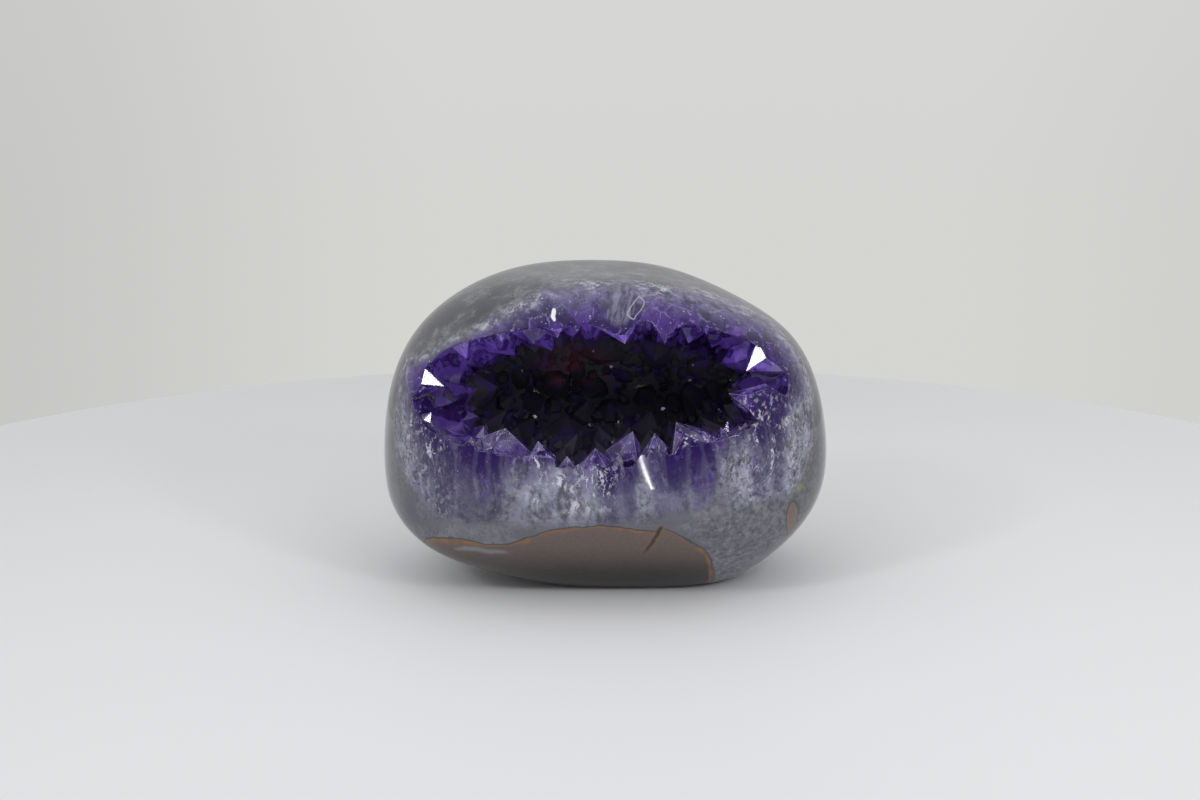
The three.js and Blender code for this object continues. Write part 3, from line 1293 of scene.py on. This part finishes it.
    def brown_edge(self, place: Term, wander: Term, off: Term) -> Term:
        """How far a place lies outside the brown rock, or below 0 in it.

        Args:
            place: The place on the surface, in millimetres.
            wander: The same place moved about.
            off: How far right of the crack it lies.

        Returns:
            The distance, in millimetres.
        """
        x, y, z = wander.parts()
        lift = off.rise(-0.2, 0.2) * off.rise(9.0, 1.0) * self.fault_lift
        lift = lift - x.near(self.dip_middle, self.dip_width) * self.dip
        at = place.shader.node("ShaderNodeCombineXYZ", {}, {0: x, 1: y, 2: z - lift})
        rear = 1.5 - (place.clouds(30, roughness=0.6) - 0.55).size() * 40
        rear = rear + y.rise(20, 0) * 30 + z.rise(30, 55) * 30
        return outside(self.brown, at).least(outside(self.side_spot, at)).least(rear)

    def crack(self, place: Term) -> tuple[Term, Term]:
        """Places a point of the surface along the crack.

        Args:
            place: The place on the surface, in millimetres.

        Returns:
            How far right of the crack it lies, and 1 along the crack's length.
        """
        x, y, z = place.moved((2.0, 0.5)).parts()
        off = (x - self.crack_top[0]) * self.crack_facing[0]
        off = off + (z - self.crack_top[2]) * self.crack_facing[2]
        top = self.crack_top[2]
        along = z.rise(self.crack_foot, self.crack_foot + 3.5) * z.rise(top, top - 0.8)
        return off, along * y.rise(-20, -25)


@dataclass(frozen=True)
class PolishedFinish:
    """The polished face of every mineral, with small pits."""

    paint: SectionPaint = field(default_factory=SectionPaint)
    shade: float = 0.97
    roughness: float = 0.05
    index: float = 1.42
    ripple_height: float = 0.006
    pit_spacing: float = 2.6
    pit_depth: float = 0.25

    def material(self) -> bpy.types.Material:
        """Makes the material."""
        shader = Shader("polished_minerals")
        place = shader.place()
        pits = place.cells(self.pit_spacing, "F1", "Distance").rise(0.1, 0.0)
        pits = pits * place.clouds(7).rise(0.52, 0.6)
        relief = place.clouds(3.0, detail=2) * self.ripple_height - pits * self.pit_depth
        surface = shader.principled(
            {
                "Base Color": self.paint.colour(shader) * self.shade,
                "Roughness": place.clouds(6) * 0.04 + (self.roughness - 0.02) + pits * 0.3,
                "IOR": self.index,
                "Normal": relief.bumps(1.0),
            }
        )
        return shader.finished(surface)


@dataclass(frozen=True)
class CrystalFinish:
    """Natural faces of clear amethyst with milky flaws inside, with painted shade that darkens them the
    deeper they stand.
    """

    # An oval that follows the polish, from which depth is measured, and a warm patch in the hollow.
    envelope: Oval = Oval((0, 0, 37.5), left=57, right=56, front=43, back=43, down=45, up=39, power=2.3)
    warm: Oval = Oval((-7, 5, 49.5), left=12, right=11, front=17, back=14, down=7, up=7, power=2)
    index: float = 1.544
    tint: Triple = (0.50, 0.36, 0.86)
    absorbed: Triple = (0.42, 0.20, 0.80)
    density: float = 260.0
    milkiness: float = 0.7
    # How far behind the polish the faces take on the painted shade, and how dark they end up.
    dusk: float = 4.0
    night: float = 13.0
    darkest: float = 0.94
    deep: Triple = (0.030, 0.012, 0.105)
    violet: Triple = (0.095, 0.045, 0.290)
    pale: Triple = (0.230, 0.180, 0.440)
    frost_and_glint: Triple = (0.660, 0.630, 0.840)
    smoky: Triple = (0.190, 0.175, 0.270)
    shadow: Triple = (0.026, 0.025, 0.031)
    shadow_violet: Triple = (0.028, 0.018, 0.075)
    ember: Triple = (0.260, 0.080, 0.122)

    def milk(self, place: Term, depth: Term) -> Term:
        """The colour of the flaws near the mouth, with painted light in the roof and painted highlights on
        the edges.

        Args:
            place: The place on the surface, in millimetres.
            depth: How far it lies behind the polish.

        Returns:
            The colour.
        """
        patch = place.clouds(4.0)
        flaw = place.clouds(1.2, detail=5, roughness=0.7)
        tone = place.tones(3.5)[0]
        height = place.parts()[2]
        level = patch.swing(1.3) + flaw.swing(1.6) + tone.swing(0.8) + 0.38
        # Faces in the roof are painted up to three times lighter: painted light.
        colour = level.rise(0.10, 0.45).blend(self.deep, self.violet) * (height.rise(51, 60) * 2.0 + 1.0)
        colour = (level.rise(0.50, 1.0) * depth.rise(9.0, 0.5)).blend(colour, self.pale)
        smoke = height.rise(48, 44) * depth.rise(6.0, 2.0) * patch.rise(0.42, 0.56)
        colour = (smoke * 0.5).blend(colour, self.smoky)
        colour = (flaw.rise(0.57, 0.66) * depth.rise(5.0, 0.5) * 0.85).blend(colour, self.frost_and_glint)
        # Painted highlights along the crystals' sharp edges.
        return (place.shader.edges(0.35) * depth.rise(10.0, 1.0) * 0.6).blend(colour, self.frost_and_glint)

    def gloom(self, place: Term) -> Term:
        """The painted shade deep in the hollow, lighter towards its roof, with a warm patch and a few
        painted glints.

        Args:
            place: The place on the surface, in millimetres.

        Returns:
            The colour.
        """
        patch = place.clouds(5.0)
        colour = patch.rise(0.50, 0.66).blend(self.shadow, self.shadow_violet)
        # Painted light: the upper part of the hollow is lighter.
        colour = colour * (place.parts()[2].rise(42, 56) * 4.0 + 0.9)
        warmth = outside(self.warm, place).rise(1.0, -5.0) * patch.rise(0.38, 0.55)
        # Painted glints: small white dots.
        glints = place.moved((0.7, 0.5)).cells(6.5, "F1", "Distance").rise(0.08, 0.06)
        return glints.blend(warmth.blend(colour, self.ember), (1.0, 1.0, 1.0))

    def darkness(self, place: Term, depth: Term) -> Term:
        """How much of the painted shade a place has. The roof and the ends are painted lit farther in.

        Args:
            place: The place on the surface, in millimetres.
            depth: How far it lies behind the polish.

        Returns:
            A share from 0 to 1.
        """
        x, _, z = place.parts()
        lit = z.rise(50, 58) * 12.0 + x.rise(-16, -30) * 9.0 + x.rise(28, 38) * 6.0
        lit = lit + x.rise(6, 26) * z.rise(44, 54) * 9.0
        return (depth - lit).rise(self.dusk, self.night) * self.darkest

    def material(self) -> bpy.types.Material:
        """Makes the material."""
        shader = Shader("amethyst")
        place = shader.place()
        depth = outside(self.envelope, place) * -1.0
        shared = {"IOR": self.index, "Normal": place.clouds(0.8).bumps(0.02)}
        clear = {"Base Color": self.tint, "Roughness": 0.03, "Transmission Weight": 1.0}
        flaws = {"Base Color": self.milk(place, depth), "Roughness": 0.10}
        dark = {"Base Color": self.gloom(place), "Roughness": 0.4, "Specular IOR Level": 0.1}
        lit = shader.mixed(
            self.milkiness, shader.principled(clear | shared), shader.principled(flaws | shared)
        )
        surface = shader.mixed(self.darkness(place, depth), lit, shader.principled(dark | shared))
        inside = {"Color": self.absorbed, "Density": self.density}
        return shader.finished(surface, shader.node("ShaderNodeVolumeAbsorption", {}, inside))


@dataclass(frozen=True)
class RootFinish:
    """The crust's hidden back, where white quartz is rooted on the stone."""

    dark: Triple = (0.30, 0.28, 0.40)
    light: Triple = (0.42, 0.41, 0.50)

    def material(self) -> bpy.types.Material:
        """Makes the material."""
        shader = Shader("quartz_root")
        colour = shader.place().clouds(1.5, detail=4).blend(self.dark, self.light)
        return shader.finished(shader.principled({"Base Color": colour, "Roughness": 0.5}))


# ---- Pieces ------------------------------------------------------------------------------------------


def hollow_form(subdivisions: int, clearance: float = 0.0) -> bpy.types.Object:
    """The hollow with its level bottom, made smaller all round by a clearance in millimetres."""
    oval = ball("hollow", subdivisions, lambda units: HOLLOW.place(units, -clearance))
    return combine(oval, Join.CUT, block_below(HOLLOW_FLOOR + clearance))


def face_middles(mesh: bpy.types.Mesh) -> np.ndarray:
    """Where the faces of a mesh lie.

    Args:
        mesh: The mesh.

    Returns:
        The middle of each face in millimetres, one to a row.
    """
    flat = np.zeros(len(mesh.polygons) * 3)
    mesh.polygons.foreach_get("center", flat)
    return flat.reshape(-1, 3) / METRES


@dataclass(frozen=True)
class StoneBody:
    """The stone, ground and polished all over, with its flat base and its hollow."""

    fineness: int = 7
    hollow_fineness: int = 6
    sharp_angle: float = 25.0

    def build(self, finish: PolishedFinish) -> bpy.types.Object:
        """Makes and dresses the piece.

        Args:
            finish: The polish.

        Returns:
            The piece.
        """
        stone = ball("polished_stone", self.fineness, FORM.place)
        combine(stone, Join.CUT, block_below(0.0))
        combine(stone, Join.CUT, hollow_form(self.hollow_fineness))
        stone.data.materials.clear()
        stone.data.materials.append(finish.material())
        self.smooth(stone.data)
        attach(stone, "root")
        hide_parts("stone")
        return stone

    def smooth(self, mesh: bpy.types.Mesh) -> None:
        """Shades the polish smoothly, and keeps the base and the hollow's edges sharp."""
        mesh.shade_smooth()
        mesh.set_sharp_from_angle(angle=math.radians(self.sharp_angle))


@dataclass(frozen=True)
class CrystalCrust:
    """The crust in the hollow: quartz with amethyst points, cut by the polish."""

    growth: Growth = field(default_factory=Growth)
    massive_depths: tuple[float, float] = (2.3, 4.5)
    thinnest: float = 3.0
    fineness: int = 7
    hollow_fineness: int = 6
    room_fineness: int = 6
    # How near a face lies to the polish, to the level bottom and to the hollow's wall to belong to it.
    polish_tolerance: float = 0.03
    floor_tolerance: float = 0.01
    wall_level: float = 0.998

    def build(
        self, crystal: CrystalFinish, polish: bpy.types.Material, root: RootFinish
    ) -> bpy.types.Object:
        """Makes and dresses the piece.

        Args:
            crystal: The natural faces.
            polish: The polished face's material, shared with the stone.
            root: The hidden back.

        Returns:
            The piece.
        """
        crust = hollow_form(self.hollow_fineness)
        crust.name = crust.data.name = "amethyst_crystals"
        combine(crust, Join.CUT, self.room())
        combine(crust, Join.ADD, self.points())
        combine(crust, Join.KEEP_COMMON, hollow_form(self.hollow_fineness))
        combine(crust, Join.KEEP_COMMON, ball("form", self.fineness, FORM.place))
        keep_largest(crust.data)
        crust.data.materials.clear()
        for material in (crystal.material(), polish, root.material()):
            crust.data.materials.append(material)
        self.dress(crust.data)
        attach(crust, "root")
        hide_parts("amethyst_crust")
        return crust

    def room(self) -> bpy.types.Object:
        """What the massive quartz leaves free."""
        rooms = [
            ball("room", self.room_fineness, lambda units: space.place(units, depth))
            for space, depth in zip(SPACES, self.massive_depths)
        ]
        room = combine(rooms[0], Join.ADD, rooms[1])
        return combine(room, Join.KEEP_COMMON, hollow_form(self.room_fineness, self.thinnest))

    def points(self) -> bpy.types.Collection:
        """Every crystal, as a collection of closed meshes."""
        bed = bpy.data.collections.new("points")
        for crystal in self.growth.crystals():
            point = mesh_object("point", crystal.points(), Crystal.faces())
            bpy.context.scene.collection.objects.unlink(point)
            bed.objects.link(point)
        bpy.context.scene.collection.children.link(bed)
        return bed

    def dress(self, mesh: bpy.types.Mesh) -> None:
        """Gives the cut faces the polish, the back its root, and the rest the crystals' flat faces.

        Args:
            mesh: The crust's mesh, which is changed.
        """
        middles = face_middles(mesh)
        polished = np.abs(FORM.outside(middles)) < self.polish_tolerance
        on_floor = middles[:, 2] < HOLLOW_FLOOR + self.floor_tolerance
        rooted = on_floor | (HOLLOW.levels(middles) > self.wall_level)
        slots = np.where(polished, 1, np.where(rooted, 2, 0))
        mesh.polygons.foreach_set("material_index", slots.astype(np.int32))
        mesh.polygons.foreach_set("use_smooth", polished)
        mesh.update()


# ---- Studio ------------------------------------------------------------------------------------------


@dataclass(frozen=True)
class Softbox:
    """A soft light: where it hangs, its size, where it looks and its power in watts."""

    name: str
    place: Triple
    aim: Triple
    width: float
    height: float
    power: float
    roll: float = 0.0

    def hang(self) -> bpy.types.Object:
        """Puts the light in the scene."""
        light = bpy.data.lights.new(self.name, "AREA")
        light.shape = "RECTANGLE"
        light.size, light.size_y = self.width * METRES, self.height * METRES
        light.energy = self.power
        lamp = bpy.data.objects.new(self.name, light)
        bpy.context.scene.collection.objects.link(lamp)
        lamp.location = Vector(self.place) * METRES
        turn = (Vector(self.aim) - Vector(self.place)).to_track_quat("-Z", "Y")
        lamp.rotation_mode = "QUATERNION"
        lamp.rotation_quaternion = turn @ Quaternion(UP, math.radians(self.roll))
        return lamp


@dataclass(frozen=True)
class Studio:
    """A pale round table in a light tent, with the camera in front."""

    table_radius: float = 250.0
    table_thickness: float = 12.0
    table_turns: int = 160
    table_colour: Triple = (0.80, 0.81, 0.83)
    table_grey: Triple = (0.72, 0.73, 0.75)
    table_mottle: float = 0.12
    # The table's brightness, the painted light that makes its right side brighter, and the painted shade
    # that darkens its edge.
    table_level: float = 1.05
    table_right_light: float = 0.07
    table_edge_shade: float = 0.08
    backdrop_high: Triple = (0.690, 0.684, 0.690)
    backdrop_low: Triple = (0.662, 0.668, 0.645)
    backdrop_left_shade: float = 0.14
    backdrop_right_shade: float = 0.05
    # The tent's light at the horizon and overhead, the share of it at the front, and how much of what is
    # missing there matt surfaces get all the same.
    level_light: float = 0.50
    top_light: float = 0.74
    front_share: float = 0.35
    front_scatter: float = 0.8
    lens: float = 72.0
    camera_aim: Triple = (-1.25, 0.0, 42.88)
    camera_elevation: float = 12.5
    camera_distance: float = 600.0
    softboxes: tuple[Softbox, ...] = (
        Softbox("front_strip", (93, -931, 140), (9, -42, 36), 8, 400, 0.45, roll=15),
        Softbox("front_lamp", (49, -919, 239), (6, -42, 39), 14, 60, 0.14),
        Softbox("left_box", (-520, -560, 520), (0, 0, 40), 110, 110, 0.9),
        Softbox("right_box", (480, -620, 420), (0, 0, 40), 110, 110, 0.9),
        Softbox("wide_left_box", (-420, -560, 620), (0, 0, 40), 320, 320, 0.7),
        Softbox("wide_right_box", (380, -620, 560), (0, 0, 40), 320, 320, 0.7),
        Softbox("near_left_lamp", (-250, -800, 420), (0, 0, 50), 30, 30, 0.15),
        Softbox("near_right_lamp", (240, -760, 520), (0, 0, 50), 30, 30, 0.15),
    )

    def build(self) -> None:
        """Makes the table, the air, the lights and the camera."""
        self.table()
        self.air()
        for softbox in self.softboxes:
            softbox.hang()
        self.camera()

    def table(self) -> None:
        """A round table top with a soft rim."""
        edge, turns = self.table_radius, self.table_turns
        rings = ((edge - 3, 0.0), (edge - 1, -0.6), (edge, -2.5), (edge, -self.table_thickness))
        angles = [2 * math.pi * i / turns for i in range(turns)]
        points = [(r * math.cos(a), r * math.sin(a), height) for r, height in rings for a in angles]
        faces: list[tuple[int, ...]] = [tuple(range(turns))]
        last = turns * (len(rings) - 1)
        for start in range(0, last, turns):
            for i in range(turns):
                j = (i + 1) % turns
                faces.append((start + j, start + i, start + turns + i, start + turns + j))
        faces.append(tuple(reversed(range(last, last + turns))))
        table = mesh_object("table", np.array(points), faces)
        table.data.materials.append(self.table_top())

    def table_top(self) -> bpy.types.Material:
        """The table's material, faintly mottled, with painted light at the right and painted shade away
        from the stone.
        """
        shader = Shader("table_top")
        place = shader.place()
        colour = (place.clouds(60) * self.table_mottle).blend(self.table_colour, self.table_grey)
        # Painted light at the right and painted shade towards the edge.
        right = place.parts()[0].rise(0, 200) * self.table_right_light
        colour = colour * (self.table_level + right - place.length().rise(60, 230) * self.table_edge_shade)
        return shader.finished(shader.principled({"Base Color": colour, "Roughness": 0.6}))

    def air(self) -> None:
        """The even light of the tent, and the backdrop that the camera sees."""
        world = bpy.data.worlds.new("tent")
        world.use_nodes = True
        shader = Shader.over(world.node_tree)
        across, along, height = shader.node("ShaderNodeTexCoord", {}, {}, "Generated").parts()
        light = height.rise(0.0, 1.0).blend((self.level_light,) * 3, (self.top_light,) * 3)
        scattered = shader.node("ShaderNodeLightPath", {}, {}, "Is Diffuse Ray")
        bright = scattered * height.rise(0.15, 0.55) * self.front_scatter
        front = along.rise(-0.3, -0.95) * (1.0 - bright)
        light = front.blend(light, (self.level_light * self.front_share,) * 3)
        backdrop = height.rise(-0.15, 0.05).blend(self.backdrop_low, self.backdrop_high)
        # Painted shade: the backdrop is darker towards the left and right.
        left = across.rise(-0.06, -0.26) * self.backdrop_left_shade
        right = across.rise(0.14, 0.26) * self.backdrop_right_shade
        backdrop = backdrop * (1.0 - left - right)
        colour = shader.node("ShaderNodeLightPath", {}, {}, "Is Camera Ray").blend(light, backdrop)
        background = shader.node("ShaderNodeBackground", {}, {"Color": colour})
        shader.add("ShaderNodeOutputWorld", {}, {"Surface": background})
        bpy.context.scene.world = world

    def camera(self) -> None:
        """The camera, which looks level with azimuth 0 and a little down."""
        data = bpy.data.cameras.new("camera")
        data.lens = self.lens
        camera = bpy.data.objects.new("camera", data)
        bpy.context.scene.collection.objects.link(camera)
        back = Vector(facing(0.0, self.camera_elevation))
        camera.location = (Vector(self.camera_aim) + back * self.camera_distance) * METRES
        camera.rotation_mode = "QUATERNION"
        camera.rotation_quaternion = (-back).to_track_quat("-Z", "Y")
        bpy.context.scene.camera = camera


def report(piece: bpy.types.Object) -> None:
    """Logs what a piece came out as."""
    size = ", ".join(f"{side / METRES:.1f}" for side in piece.dimensions)
    LOG.info("%s: %d faces, %s mm", piece.name, len(piece.data.polygons), size)


def save_sizes() -> None:
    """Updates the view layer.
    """
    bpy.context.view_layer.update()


def main() -> None:
    """Builds the geode and its studio."""
    logging.basicConfig(level=logging.INFO)
    bpy.context.scene.view_settings.view_transform = "Standard"
    Studio().build()
    stone = StoneBody().build(PolishedFinish())
    report(stone)
    crust = CrystalCrust().build(CrystalFinish(), stone.data.materials[0], RootFinish())
    report(crust)
    save_sizes()


if __name__ == "__main__":
    main()
